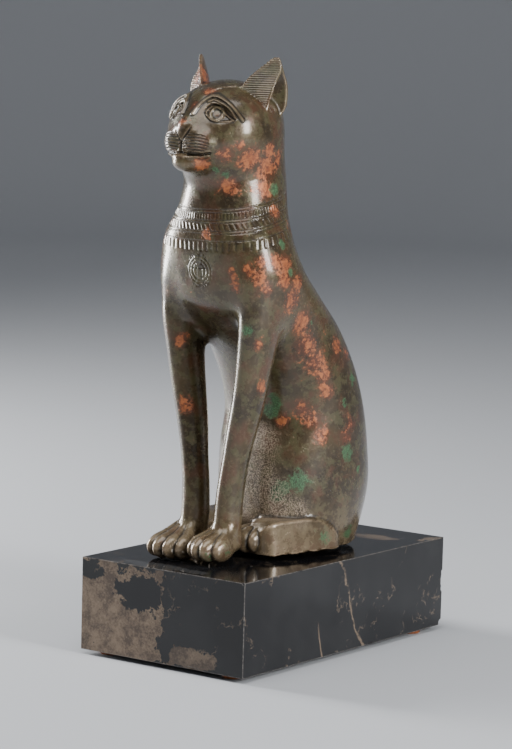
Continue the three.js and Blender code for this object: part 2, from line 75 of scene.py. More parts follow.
# Trunk and neck: height, middle along Y, half width, half depth in front and behind, squareness of both.
trunk_rows = [
    [-8, 14, 29, 33, 30, 2.4, 2.4],
    [4, 14, 30, 34, 32, 2.4, 2.4],
    [14, 15, 32, 36, 34.5, 2.3, 2.3],
    [30, 15, 34, 37, 38.5, 2.2, 2.3],
    [50, 14, 33.8, 35, 39, 2.2, 2.25],
    [70, 11, 33.6, 28.5, 37.5, 2.0, 2.25],
    [90, 3, 33.2, 27, 37.6, 2.0, 2.25],
    [110, -8, 32.8, 32, 36, 2.1, 2.15],
    [125, -20, 34.2, 36, 32.8, 2.4, 2],
    [140, -32, 35.5, 27, 28.3, 2.7, 2],
    [155, -36, 32.3, 24.2, 25.6, 2.6, 2],
    [168, -35.5, 26.4, 23.5, 26.8, 2.15, 2],
    [182, -34, 23.6, 24.5, 25.8, 2, 2],
    [200, -36, 22.5, 24, 25, 2, 2],
    [214, -38, 20, 20, 22, 2, 2],
]
neck_top = 214

# Foreleg: height, middle along X and Y, half width, half depth in front and behind.
leg_rows = [
    [2, 11, -47, 7, 8, 8],
    [12, 10.6, -46, 6.6, 7.6, 8],
    [22, 10.4, -45, 6.5, 7.4, 7.8],
    [34, 11, -44.2, 6.3, 7.4, 7.4],
    [49, 13, -43.3, 6.1, 7.6, 7.6],
    [64, 15.7, -42.2, 6.8, 8.6, 8.6],
    [78, 18.7, -41.6, 7.4, 9.4, 9.4],
    [100, 22.2, -41.5, 7.8, 10.8, 11.5],
    [118, 24.2, -41, 9, 12.5, 15],
    [140, 23, -38, 10, 15, 18],
]
leg_top, leg_bottom, leg_squareness = 140, 6, 1.9

# Ear: height, then X and Y of the inner edge, of the front ridge and of the rim behind.
ear_rows = [
    [203, 13, -43, 19, -38, 18, -35],
    [209, 11.5, -46.5, 23, -37.2, 20.6, -32.2],
    [212, 11.3, -46.9, 23.6, -38.9, 23.2, -29.4],
    [215, 11.3, -47, 24.2, -40, 24.6, -27.2],
    [222, 11.7, -46.6, 25.2, -39.1, 25.3, -26],
    [228, 13.4, -45.2, 26, -36.9, 25.2, -26.6],
    [234, 17.8, -41.5, 25.7, -32.6, 24.4, -28.6],
    [238, 21, -38.2, 25.1, -32, 24.1, -30.4],
    [241, 23, -36, 24.3, -33.4, 23.9, -32.2],
]
ear_tip, ear_back_bulge, ear_wall, ear_rim, ear_hollow_depth = 240.8, 2.4, 1.5, 1.2, 6.5
ear_line_pitch, ear_line_depth = 1.03, 0.3

# Toes: middle along X and Y, and how far each splays. Heel: middle along X and Y, and its turn.
left_paw = (1.7, (10, -48, 0.06), [(4.4, -57, -0.1), (8.2, -59, -0.03), (12, -58.2, 0.05), (15.6, -54.4, 0.15)])
right_paw = (0.2, (12.2, -52, 0.22), [(4.6, -57, -0.05), (9.2, -60, 0.05), (13.9, -61, 0.15), (18.3, -59.6, 0.25)])
hind_toes = [(7.4, -30, -0.05), (11.8, -31, 0.02), (16, -28.6, 0.12), (19.6, -24, 0.25)]
hind_middle, hind_turn, hind_half, hind_long, hind_top = (21.2, -8), 0.2, 9.4, 25, 18.8
hind_lift, rim_lift, cat_gap = 2.8, 2.6, 0.3

# Tail: place in the row, X, Y and radius, from the rump along the right side.
tail_rows = [
    [0, 4, 44, 6.6],
    [1, -14, 43.5, 6.4],
    [2, -27.5, 33.5, 6],
    [3, -32.5, 16, 5.5],
    [4, -33, -4, 5.1],
    [5, -31.5, -20, 4.7],
    [6, -27, -31, 4.2],
]
tail_lift = 0.4

# Ridges and grooves of the face: half width, height, and points as a distance round the head and a height.
face_radius, face_middle = 24.0, -40.0
face_lines = {
    "upper brow": (1.25, 1.15, [
        (2.6, 213.4), (3.2, 216), (4.3, 218.2), (6, 220.3), (8.4, 221.7), (11.3, 221.6), (13.8, 220.7),
        (16.2, 219.3), (18.4, 217.5), (20.4, 215.1), (22, 212.8), (23.3, 210.8),
    ]),
    "lower brow": (0.85, 0.7, [
        (7.4, 219), (9.7, 220), (12, 219.4), (14.6, 218.2), (17, 216.6), (18.8, 214.4), (20.2, 211.6),
    ]),
    "lid crease": (0.8, -0.9, [
        (7.6, 216.2), (8.9, 217.6), (11.4, 217.6), (14.2, 216.4), (16.4, 214.2), (18.2, 212.3), (19.8, 211),
    ]),
    "upper lid": (0.6, 0.75, [
        (7.4, 214), (8.2, 215.6), (9.8, 216.6), (12.2, 216.5), (14.3, 215.3), (16, 213.4), (17.6, 211.9), (19.6, 210.6),
    ]),
    "lower lid": (0.65, 0.6, [(7.4, 214), (8.6, 212), (10.4, 210.7), (12.8, 210), (16, 210), (19.6, 210.6)]),
    "mouth": (0.75, -1.0, [(0, 195.2), (1.6, 194.9), (4, 194.5), (7.4, 194.6), (10.6, 195.4)]),
    "lower lip": (0.9, 0.4, [(0, 193.6), (4, 193.1), (7.4, 193.3), (9.8, 194)]),
    "split lip": (0.7, -0.9, [(0, 200), (0, 195.2)]),
    "nose side": (0.6, -0.7, [(3.3, 206.4), (2.6, 204.6), (1.2, 202), (0, 199.8)]),
}
socket_shape, socket_depth = (13.0, 213.6, 7.0, 4.6, -0.25), 1.6
eye_shape, eye_height = (12.2, 213.4, 4.0, 3.5, -0.12), 1.7
pupil_shape, pupil_depth, iris_height = (12.2, 213.6, 2.0, 2.15, 0), 0.35, 0.35
whisker_pad, whisker_pitch, whisker_depth = (5.3, 199.7, 5.1, 4.9, 0), 1.4, 0.5
crown_line = [(6.2, -59.6, 221.6), (4.6, -57.2, 223.9), (5.6, -54, 225.1), (8, -51.3, 225.7), (10.7, -47.3, 226.5)]
pendant = (0.9, 139.3, 7.8, 7.9, 0.3)
pendant_rings = [(7.2, -0.3), (5.7, -0.25), (3.9, -0.25)]

# The collar's rings and the rows of strokes between them: heights in front, where it hangs lowest.
collar_slope, collar_middle, collar_round = 0.2, -34.0, 27.0
collar_rings = [168.2, 166.8, 163.4, 162.1, 158.5, 157.2, 153.8]
collar_rows = [(163.6, 166.6, 1.75, 0), (158.7, 161.9, 2.6, 0.45), (149, 153.5, 2.9, 0)]
ring_half, ring_depth, stroke_depth = 0.45, 0.3, 0.22


def through(rows):
    """A smooth curve through rows by their first number: a cubic between each two, whose slope at a row
    is the mean of the slopes on both sides, weighted towards the shorter side."""
    rows = np.array(rows, float)
    place, value = rows[:, 0], rows[:, 1:]
    step = np.diff(place)[:, None]
    rise = np.diff(value, axis=0) / step
    inner = (rise[:-1] * step[1:] + rise[1:] * step[:-1]) / (step[1:] + step[:-1])
    slope = np.vstack([rise[:1], inner, rise[-1:]])

    def at(wanted):
        wanted = np.clip(wanted, place[0], place[-1])
        i = np.clip(np.searchsorted(place, wanted, side="right") - 1, 0, len(place) - 2)
        t = ((wanted - place[i]) / step[i, 0])[:, None]
        near = 2 * t**3 - 3 * t**2 + 1
        out = value[i] * near + value[i + 1] * (1 - near)
        out += ((t**3 - 2 * t**2 + t) * slope[i] + (t**3 - t**2) * slope[i + 1]) * step[i]
        return out.T

    return at


def blend(a, b, fillet):
    """Joins two distances: the smaller, less a quarter of fillet times the square of how near they are."""
    near = np.maximum(fillet - np.abs(a - b), 0) / fillet
    return np.minimum(a, b) - near * near * fillet / 4


def cut(a, b, fillet):
    """What two forms have in common, with a rounded edge."""
    return -blend(-a, -b, fillet)


def egg(x, y, z, middle, half, pitch=0.0, yaw=0.0):
    """Distance to an egg: how far out the point lies in units of its half sizes, made a length by the
    slope of that number there. yaw turns it about the upright and pitch tips its front down."""
    u = (x - middle[0]) * math.cos(yaw) + (y - middle[1]) * math.sin(yaw)
    along = -(x - middle[0]) * math.sin(yaw) + (y - middle[1]) * math.cos(yaw)
    v = along * math.cos(pitch) + (z - middle[2]) * math.sin(pitch)
    w = -along * math.sin(pitch) + (z - middle[2]) * math.cos(pitch)
    far = np.sqrt((u / half[0]) ** 2 + (v / half[1]) ** 2 + (w / half[2]) ** 2)
    steep = np.sqrt((u / half[0] ** 2) ** 2 + (v / half[1] ** 2) ** 2 + (w / half[2] ** 2) ** 2)
    return far * (far - 1) / (steep + 1e-9)


def oval(x, y, half_x, half_y, n):
    """Distance in plan to the curve where |x/half_x|^n + |y/half_y|^n is 1."""
    u, v = np.abs(x) / half_x, np.abs(y) / half_y
    size = (u**n + v**n) ** (1 / n) + 1e-9
    steep = size ** (1 - n) * np.hypot(u ** (n - 1) / half_x, v ** (n - 1) / half_y)
    return (size - 1) / (steep + 1e-9)


def rod(x, y, z, start, end, start_radius, end_radius):
    """Distance to a rod with round ends: the distance to its middle line, less the radius there."""
    start, end = np.array(start, float), np.array(end, float)
    way = end - start
    p = np.stack([x, y, z], 1) - start
    t = np.clip(p @ way / (way @ way), 0, 1)
    return np.linalg.norm(p - t[:, None] * way, axis=1) - start_radius - (end_radius - start_radius) * t


def to_line(points, line):
    """Least distance from points to a line through corners, in as many dimensions as the points have."""
    least = np.full(len(points), np.inf)
    for start, end in zip(np.array(line[:-1], float), np.array(line[1:], float)):
        way = end - start
        t = np.clip((points - start) @ way / (way @ way), 0, 1)
        least = np.minimum(least, np.linalg.norm(points - start - t[:, None] * way, axis=1))
    return least


def mound(share):
    """1 in the middle and 0 at 1 and beyond: the square of 1 less the share squared."""
    return np.maximum(1 - share * share, 0) ** 2


trunk_at, leg_at, ear_at, tail_at = map(through, (trunk_rows, leg_rows, ear_rows, tail_rows))
tail_route = tail_at(np.linspace(0, 6, 25)).T


def trunk(x, y, z):
    """Ovals stacked from the rump to the top of the neck."""
    middle, half, front, back, square_front, square_back = trunk_at(z)
    ahead = y < middle
    body = oval(x, y - middle, half, np.where(ahead, front, back), np.where(ahead, square_front, square_back))
    return cut(body, z - neck_top, 6)


def foreleg(side, y, z):
    """Ovals stacked from the paw to the shoulder."""
    middle_x, middle_y, half, front, back = leg_at(z)
    leg = oval(side - middle_x, y - middle_y, half, np.where(y < middle_y, front, back), leg_squareness)
    return cut(cut(leg, z - leg_top, 10), leg_bottom - z, 4)


def forepaw(x, y, z, paw):
    """One egg for the back of the paw, and for each toe an egg and a rod that runs up the paw from it."""
    lift, (heel_x, heel_y, heel_turn), toes = paw
    form = egg(x, y, z, (heel_x, heel_y, 7.6 + lift), (6.3, 12.5, 7.0), 0.22, heel_turn)
    for toe_x, toe_y, splay in toes:
        toe = egg(x, y, z, (toe_x, toe_y, 5.9 + lift), (4.1, 8.4, 5.9), 0.1, splay)
        root = (heel_x + 0.62 * (toe_x - heel_x), heel_y + 1, 14.2 + lift)
        bone = rod(x, y, z, (toe_x, toe_y - 1.5, 7.6 + lift), root, 3.8, 2.4)
        form = blend(form, blend(toe, bone, 1.5), 0.5)
    return form


def hind_foot(side, y, z):
    """A long foot with steep sides and a narrow shelf along its top, and for each toe an egg and a rod."""
    c, s = math.cos(hind_turn), math.sin(hind_turn)
    along = (y - hind_middle[1]) * c + (side - hind_middle[0]) * s
    across = (side - hind_middle[0]) * c - (y - hind_middle[1]) * s
    top = hind_top - 0.02 * np.maximum(along - 1, 0) ** 2 - 0.012 * np.maximum(-along - 11, 0) ** 2
    form = cut(np.abs(across) + 0.1 * z - hind_half - 1.2 + 0.003 * along**2, z - top, 1.4)
    form = cut(form, np.abs(along) - hind_long, 8)
    for toe_x, toe_y, splay in hind_toes:
        toe = egg(side, y, z, (toe_x, toe_y, 6.2 + hind_lift), (3.9, 8, 6.2), 0.08, splay)
        bone = rod(side, y, z, (toe_x, toe_y + 1, 8.2 + hind_lift), (toe_x + 2.4, toe_y + 13, 12 + hind_lift), 3.9, 3)
        form = blend(form, blend(toe, bone, 1.5), 0.5)
    return form


def tail(x, y, z):
    """Rods along the tail's route, which rests just above the plinth."""
    form = np.full(len(x), np.inf)
    for (ax, ay, ar), (bx, by, br) in zip(tail_route[:-1], tail_route[1:]):
        form = np.minimum(form, rod(x, y, z, (ax, ay, ar + tail_lift), (bx, by, br + tail_lift), ar, br))
    return form


def head(x, y, z):
    """Eggs for the skull, cheeks, muzzle, whisker pads and chin, and a rod for the bridge of the nose."""
    side = np.abs(x)
    form = egg(x, y, z, (0, -40, 209), (24.5, 25, 20))
    form = blend(form, egg(x, y, z, (0, -49, 203), (23.5, 18, 17)), 8)
    form = blend(form, egg(x, y, z, (0, -59, 199), (14, 13.5, 11.5)), 10)
    form = blend(form, egg(side, y, z, (6.9, -66.0, 199.6), (6.9, 7.4, 6.2)), 3.5)
    form = blend(form, egg(x, y, z, (0, -66.8, 190.9), (7.8, 8.2, 5.2)), 3)
    form = blend(form, rod(x, y, z, (0, -69.3, 207.4), (0, -57, 217), 3.1, 5.2), 5)
    return blend(form, egg(x, y, z, (0, -70.8, 207.7), (3.1, 2.7, 1.9)), 0.7)


def ear_walls(side, y, z):
    """Distances to the front panel, the open side and the back of the three-sided ear, and the place
    across the front panel from -1 to 1. The back swells."""
    inner_x, inner_y, ridge_x, ridge_y, rim_x, rim_y = ear_at(z)

    def wall(from_x, from_y, to_x, to_y):
        long = np.hypot(to_x - from_x, to_y - from_y)
        away = ((side - from_x) * (to_y - from_y) - (y - from_y) * (to_x - from_x)) / long
        along = ((side - from_x) * (to_x - from_x) + (y - from_y) * (to_y - from_y)) / long
        return away, 2 * along / long - 1

    front, across_front = wall(inner_x, inner_y, ridge_x, ridge_y)
    opening, _ = wall(ridge_x, ridge_y, rim_x, rim_y)
    back, across_back = wall(rim_x, rim_y, inner_x, inner_y)
    back -= ear_back_bulge * np.clip((241 - z) / 12, 0, 1) * np.maximum(0, 1 - across_back**2)
    return front, opening, back, across_front


def ear(side, y, z):
    """The three walls cut together, closed at the root and the tip, and hollowed from the open side as
    deep as leaves a wall at the back and a rim in front."""
    front, opening, back, _ = ear_walls(side, y, z)
    spike = cut(cut(front, opening, 0.5), back, 0.9)
    deep = ear_hollow_depth * np.clip((236.5 - z) / 10, 0, 1) * np.clip((z - 208) / 6, 0, 1)
    carved = cut(cut(back + ear_wall, front + ear_rim, 1.5), -opening - deep, 1.5)
    return cut(cut(cut(spike, -carved, 0.4), 204 - z, 1), z - ear_tip, 1.5)


def face_place(x, y, z):
    """Distance round the head from its middle line, by the angle there, and height."""
    return np.stack([face_radius * np.arctan2(np.abs(x), face_middle - y), z], 1)


def share_of(place, shape):
    """How far a place on the face lies out of a tilted oval's middle, 1 at its edge."""
    middle_u, middle_z, half_u, half_z, tilt = shape
    u, v = place[:, 0] - middle_u, place[:, 1] - middle_z
    along = u * math.cos(tilt) + v * math.sin(tilt)
    across = -u * math.sin(tilt) + v * math.cos(tilt)
    return np.hypot(along / half_u, across / half_z)


def face_relief(x, y, z):
    """Height of the carving on the face: each line is a mound or a trough over its half width, each eye
    a socket with a ball in it, a ring and a sunk pupil, and the crown line a low ridge towards the ear."""
    place = face_place(x, y, z)
    height = np.zeros(len(x))
    for half, full, line in face_lines.values():
        height += full * mound(to_line(place, line) / half)
    height -= socket_depth * mound(share_of(place, socket_shape) ** 2)
    height += eye_height * np.sqrt(np.maximum(0, 1 - share_of(place, eye_shape) ** 2))
    pupil = share_of(place, pupil_shape)
    height += iris_height * mound((pupil - 1.35) / 0.4) - pupil_depth * np.clip((1 - pupil) * 6, 0, 1)
    ridge = to_line(np.stack([np.abs(x), y, z], 1), crown_line)
    return height + 0.45 * mound(ridge / 0.9)


def engraving(x, y, z):
    """Height of the lines cut into the wax: level grooves across the ears' front panels, bent ones on the
    whisker pads, the collar's rings with rows of strokes, and the rings of the pendant."""
    height = np.zeros(len(x))
    panel = z > 207
    front, opening, back, across = ear_walls(np.abs(x[panel]), y[panel], z[panel])
    inside = np.clip((np.minimum(-opening, -back) - 0.3) / 0.4, 0, 1) * np.clip((0.93 - np.abs(across)) / 0.06, 0, 1)
    inside *= (np.abs(front) < 1.2) * np.clip((z[panel] - 208 + 7 * (across < 0)) / 2, 0, 1)
    wave = 0.5 + 0.5 * np.cos(2 * np.pi * z[panel] / ear_line_pitch)
    height[panel] -= ear_line_depth * inside * wave

    muzzle = (z > 193) & (z < 207) & (y < -58)
    place = face_place(x[muzzle], y[muzzle], z[muzzle])
    inside = np.clip((1.06 - share_of(place, whisker_pad)) / 0.12, 0, 1)
    bent = place[:, 1] + 0.035 * (place[:, 0] - 4.5) ** 2
    wave = 0.5 + 0.5 * np.cos(2 * np.pi * (bent - whisker_pad[1]) / whisker_pitch)
    height[muzzle] -= whisker_depth * inside * wave**1.5

    neck = (z > 140) & (z < 185)
    level = z[neck] - collar_slope * (y[neck] + 59)
    turn = collar_round * np.arctan2(x[neck], collar_middle - y[neck])
    rings = np.zeros(len(level))
    for ring in collar_rings:
        rings = np.maximum(rings, ring_depth * mound((level - ring) / ring_half))
    for low, high, pitch, slant in collar_rows:
        row = np.clip((level - low) / 0.4, 0, 1) * np.clip((high - level) / 0.4, 0, 1)
        stroke = 0.5 + 0.5 * np.cos(2 * np.pi * (turn + slant * (level - low)) / pitch)
        rings += stroke_depth * row * stroke**2
    height[neck] -= rings

    chest = (z > 125) & (z < 150) & (y < -45)
    far_x, far_z = x[chest] - pendant[0], z[chest] - pendant[1]
    far = np.hypot(far_x, far_z)
    for radius, depth in pendant_rings:
        height[chest] += depth * mound((far - radius) / 0.5)
    inner = far < pendant_rings[1][0]
    height[chest] -= 0.25 * inner * mound((far_z - 1.4) / 0.5)
    height[chest] -= 0.2 * (far < 3.6) * (far_z < 1.2) * mound((np.abs(far_x) - 1.6) / 0.5)
    return height


def cat_form(x, y, z):
    """Distance to the whole casting, negative inside. Parts that end well below or above a height are
    left out there."""
    side = np.abs(x)
    form = trunk(x, y, z)

    def add(where, part, fillet):
        if where.any():
            form[where] = blend(form[where], part(where), fillet)

    low = z < leg_top + 12
    add(low, lambda m: foreleg(side[m], y[m], z[m]), 8)
    feet = z < 34
    if feet.any():
        add(feet, lambda m: hind_foot(side[m], y[m], z[m]), 2)
        rim = rim_lift + 0.45 * np.sin(0.31 * y[feet] + 1) * np.sin(0.17 * y[feet] + 0.23 * x[feet])
        form[feet] = cut(form[feet], rim - z[feet], 0.6)
        add(feet, lambda m: cut(oval(x[m], y[m] - 16, 20, 24, 2.5), z[m] - 20, 2), 1.5)
        add(feet, lambda m: blend(
            forepaw(x[m], y[m], z[m], left_paw), forepaw(-x[m], y[m], z[m], right_paw), 1.5), 3)
        add(feet, lambda m: tail(x[m], y[m], z[m]), 2)
        form[feet] = cut(form[feet], cat_gap - z[feet], 0.8)
    high = z > 172
    add(high, lambda m: head(x[m], y[m], z[m]), 10)
    face = high & (z > 184) & (y < -45)
    if face.any():
        form[face] -= face_relief(x[face], y[face], z[face])
    add(high, lambda m: ear(side[m], y[m], z[m]), 1.6)
    chest = (z < 172) & (z > 120) & (y < -40)
    share = np.hypot((x[chest] - pendant[0]) / pendant[2], (z[chest] - pendant[1]) / pendant[3])
    form[chest] -= pendant[4] * np.sqrt(np.maximum(0, 1 - share**6))
    return form


def engraved_form(x, y, z):
    """The casting with its fine lines cut in."""
    return cat_form(x, y, z) - engraving(x, y, z)


def steepest(form, points, step=0.05):
    """The form's slope at each point, from its values a small step either way along each axis."""
    slope = np.empty_like(points)
    for axis in range(3):
        move = np.zeros(3)
        move[axis] = step
        slope[:, axis] = (form(*(points + move).T) - form(*(points - move).T)) / (2 * step)
    return slope


def skin(form, lattice, counts, reach):
    """The surface where a form is 0, as points and four-sided faces, by surface nets: each cell of a
    lattice that the surface passes through gets one point, at the mean of where its edges cross it, and
    each crossed edge joins the points of the four cells round it. lattice turns indices into places. Only
    cells near the surface are worked out: those round a coarse cell that lies within reach of it."""
    stride = 4
    counts = [c // stride * stride for c in counts]
    coarse = np.meshgrid(*[np.arange(0, c + 1, stride) for c in counts], indexing="ij")
    far = np.abs(form(*lattice(*[c.ravel().astype(float) for c in coarse]))).reshape(coarse[0].shape)
    near = far < reach
    cells = np.zeros([n - 1 for n in near.shape], bool)
    for i in range(2):
        for j in range(2):
            for k in range(2):
                cells |= near[i:i + cells.shape[0], j:j + cells.shape[1], k:k + cells.shape[2]]
    known = np.zeros([c + 1 for c in counts], bool)
    block = cells.repeat(stride, 0).repeat(stride, 1).repeat(stride, 2)
    for i in range(2):
        for j in range(2):
            for k in range(2):
                known[i:i + counts[0], j:j + counts[1], k:k + counts[2]] |= block
    value = np.full(known.shape, 1e3)
    index = np.argwhere(known)
    value[known] = form(*lattice(*index.T.astype(float)))
    inside = value < 0

    corners = [(i, j, k) for i in range(2) for j in range(2) for k in range(2)]
    full = np.zeros(counts, np.int8)
    sure = np.ones(counts, bool)
    for i, j, k in corners:
        part = slice(i, i + counts[0]), slice(j, j + counts[1]), slice(k, k + counts[2])
        full += inside[part]
        sure &= known[part]
    cell = np.argwhere((full > 0) & (full < 8) & sure)
    number = np.full(counts, -1)
    number[tuple(cell.T)] = np.arange(len(cell))
    total = np.zeros((len(cell), 3))
    crossed = np.zeros(len(cell))
    for first in corners:
        for axis in range(3):
            if first[axis]:
                continue
            second = np.array(first)
            second[axis] = 1
            a = value[tuple((cell + first).T)]
            b = value[tuple((cell + second).T)]
            change = (a < 0) != (b < 0)
            t = np.where(change, a / np.where(change, a - b, 1), 0)
            place = np.array(first, float) + t[:, None] * (second - np.array(first))
            total += np.where(change[:, None], place, 0)
            crossed += change
    points = np.stack(lattice(*(cell + total / crossed[:, None]).T), 1)

    faces = []
    for axis in range(3):
        one, two = (axis + 1) % 3, (axis + 2) % 3
        step = np.eye(3, dtype=int)
        start = np.argwhere(inside[tuple(slice(None, -1) if a == axis else slice(1, -1) for a in range(3))]
                            != inside[tuple(slice(1, None) if a == axis else slice(1, -1) for a in range(3))])
        start += 1 - step[axis]
        ring = [start - step[one] - step[two], start - step[two], start, start - step[one]]
        face = np.stack([number[tuple(r.T)] for r in ring], 1)
        outward = inside[tuple(start.T)]
        face = np.where(outward[:, None], face, face[:, ::-1])
        faces.append(face[(face >= 0).all(1)])
    return points, np.vstack(faces)


def settle(form, points, faces, rounds):
    """Evens out the points and puts them on the surface: each moves half way to the middle of the corners
    of its faces, and then along the slope by the form's value."""
    for _ in range(rounds):
        middle = points[faces].mean(1)
        total = np.zeros_like(points)
        count = np.zeros(len(points))
        for corner in faces.T:
            np.add.at(total, corner, middle)
            np.add.at(count, corner, 1)
        points = points + 0.5 * (total / np.maximum(count, 1)[:, None] - points)
        for _ in range(2):
            slope = steepest(form, points)
            steep = np.maximum((slope**2).sum(1), 0.25)
            move = np.clip(form(*points.T) / steep, -0.5, 0.5)
            points = points - slope * move[:, None]
    return points


# Half width and the ends along Y of the lattice round the cat, by height: it narrows towards the head,
# so that its cells are finest there. Heights of its layers, with the number of cells between each two.
lattice_at = through([
    [-2, 41, -76, 58],
    [16, 41, -76, 58],
    [40, 39, -66, 60],
    [75, 38, -62, 58],
    [110, 38, -64, 38],
    [135, 39, -66, 12],
    [150, 37, -66, -1],
    [165, 32, -67, -4],
    [183, 28, -79, -5],
    [205, 28, -80, -8],
    [222, 29, -68, -14],
    [231, 29, -54, -20],
    [243, 29, -52, -20],
])
layers = [(-1, 0), (20, 18), (146, 40), (174, 22), (205, 26), (243, 50)]
layer_heights = np.concatenate([[layers[0][0]]] + [
    np.linspace(a[0], b[0], b[1] + 1)[1:] for a, b in zip(layers[:-1], layers[1:])
])
lattice_counts = (60, 76, len(layer_heights) - 1)


def cat_lattice(i, j, k):
    """Places from indices: the height from the layers, and X and Y between the lattice's sides there."""
    z = np.interp(k, np.arange(len(layer_heights)), layer_heights)
    half, front, back = lattice_at(z)
    return half * (2 * i / lattice_counts[0] - 1), front + (back - front) * j / lattice_counts[1], z


def refine(points, faces, cuts):
    """Splits four-sided faces where finer carving needs it. Each edge gets the number of parts that cuts
    gives for its middle and its direction. A face whose opposite edges agree becomes a grid, with places
    in between its corners, and one whose edges don't agree keeps its shape and takes in the new corners."""
    ends = np.stack([faces, np.roll(faces, -1, axis=1)], 2).reshape(-1, 2)
    edges, edge_of = np.unique(np.sort(ends, 1), axis=0, return_inverse=True)
    edge_of = edge_of.reshape(-1, 4)
    start, end = points[edges[:, 0]], points[edges[:, 1]]
    parts = cuts((start + end) / 2, np.abs(end - start))
    first = len(points) + np.concatenate([[0], np.cumsum(parts - 1)])
    new_points = [points]
    owner = np.repeat(np.arange(len(edges)), parts - 1)
    step = np.arange(len(owner)) - (first[owner] - len(points)) + 1
    share = (step / parts[owner])[:, None]
    new_points.append(start[owner] * (1 - share) + end[owner] * share)
    total = len(points) + len(owner)

    def along(edge, from_corner, n):
        """The points on an edge, from a face's corner on."""
        middle = first[edge][:, None] + np.arange(n - 1)
        flip = edges[edge, 0] != from_corner
        return np.where(flip[:, None], middle[:, ::-1], middle)

    n = parts[edge_of]
    regular = (n[:, 0] == n[:, 2]) & (n[:, 1] == n[:, 3])
    new_faces = []
    for a, b in np.unique(n[regular][:, :2], axis=0):
        chosen = np.flatnonzero(regular & (n[:, 0] == a) & (n[:, 1] == b))
        corner = faces[chosen]
        grid = np.empty((len(chosen), a + 1, b + 1), int)
        grid[:, 0, 0], grid[:, a, 0], grid[:, a, b], grid[:, 0, b] = corner.T
        grid[:, 1:a, 0] = along(edge_of[chosen, 0], corner[:, 0], a)
        grid[:, a, 1:b] = along(edge_of[chosen, 1], corner[:, 1], b)
        grid[:, 1:a, b] = along(edge_of[chosen, 2], corner[:, 2], a)[:, ::-1]
        grid[:, 0, 1:b] = along(edge_of[chosen, 3], corner[:, 3], b)[:, ::-1]
        inner = len(chosen) * (a - 1) * (b - 1)
        grid[:, 1:a, 1:b] = total + np.arange(inner).reshape(len(chosen), a - 1, b - 1)
        total += inner
        u, v = np.meshgrid(np.arange(1, a) / a, np.arange(1, b) / b, indexing="ij")
        weight = np.stack([(1 - u) * (1 - v), u * (1 - v), u * v, (1 - u) * v], 2)
        new_points.append((weight @ points[corner][:, None]).reshape(-1, 3))
        quad = np.stack([grid[:, :-1, :-1], grid[:, 1:, :-1], grid[:, 1:, 1:], grid[:, :-1, 1:]], 3)
        new_faces += quad.reshape(-1, 4).tolist()
    for face in np.flatnonzero(~regular):
        ring = []
        for corner, edge in zip(faces[face], edge_of[face]):
            middle = list(range(first[edge], first[edge] + parts[edge] - 1))
            ring += [int(corner)] + (middle if edges[edge, 0] == corner else middle[::-1])
        new_faces.append(ring)
    return np.vstack(new_points), new_faces


def carving_cuts(middle, way):
    """How many parts an edge is split into: three or two where lines are engraved, more finely across the
    lines than along them, and two on the eyes and toes."""
    x, y, z = middle.T
    steep = way[:, 2] > 0.7 * np.linalg.norm(way, axis=1)
    parts = np.ones(len(z), int)
    toes = (z > 2) & (z < 17) & (y < np.where(z < 9, -48, -40)) & (np.abs(x) < 26)
    hind = (z > 3) & (z < 17) & (y > -41) & (y < -20) & (np.abs(x) < 25)
    place = face_place(x, y, z)
    eyes = (z > 208) & (z < 223) & (y < -54) & (np.abs(x) < 25)
    parts[toes | hind | eyes] = 2
    level = z - collar_slope * (y + 59)
    collar = (level > 148.5) & (level < 169) & (y < -22)
    parts[collar] = np.where(steep, 3, 2)[collar]
    muzzle = share_of(place, whisker_pad) < 1.25
    parts[muzzle & (y < -58)] = 3
    medal = (np.hypot(x - pendant[0], z - pendant[1]) < 8.6) & (y < -45)
    parts[medal] = 3
    high = z > 207
    front, opening, back, across = ear_walls(np.abs(x[high]), y[high], z[high])
    panel = (np.abs(front) < 1) & (opening < 0.3) & (back < 0.3)
    parts[np.flatnonzero(high)[panel]] = np.where(steep, 3, 2)[high][panel]
    return parts


def drop_on(form, points, rounds):
    """Moves points along the form's slope until they lie on it."""
    for _ in range(rounds):
        slope = steepest(form, points)
        steep = np.maximum((slope**2).sum(1), 0.25)
        points = points - slope * np.clip(form(*points.T) / steep, -0.4, 0.4)[:, None]
    return points


def to_row(points):
    """From the cat's own frame to the row frame: turned about the pivot, raised onto the plinth, in metres."""
    c, s = math.cos(cat_turn), math.sin(cat_turn)
    x, y, z = points[:, 0], points[:, 1] - cat_pivot, points[:, 2]
    turned = np.stack([x * c + y * s, cat_pivot - x * s + y * c, z], 1) * MM
    turned[:, 2] += plinth_high[2]
    return turned


def turn_only(vectors):
    """Turns directions as to_row turns places."""
    c, s = math.cos(cat_turn), math.sin(cat_turn)
    x, y, z = vectors.T
    return np.stack([x * c + y * s, -x * s + y * c, z], 1)


def new_piece(name, points, faces, normals=None):
    """A mesh object at the origin from points in metres and faces, smooth-shaded."""
    mesh = bpy.data.meshes.new(name)
    mesh.from_pydata(points, [], faces)
    mesh.shade_smooth()
    if normals is not None:
        mesh.normals_split_custom_set_from_vertices(normals)
    made = bpy.data.objects.new(name, mesh)
    bpy.context.scene.collection.objects.link(made)
    return made


cat_points, cat_faces = skin(cat_form, cat_lattice, lattice_counts, 7.0)
cat_points = settle(cat_form, cat_points, cat_faces, 2)
cat_points, cat_faces = refine(cat_points, cat_faces, carving_cuts)
cat_points = drop_on(engraved_form, cat_points, 3)
cat_slope = steepest(engraved_form, cat_points, 0.08)
cat_normals = cat_slope / np.linalg.norm(cat_slope, axis=1)[:, None]
cat = new_piece("cat_casting", to_row(cat_points), cat_faces, turn_only(cat_normals))
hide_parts("cat")
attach(cat, "root")

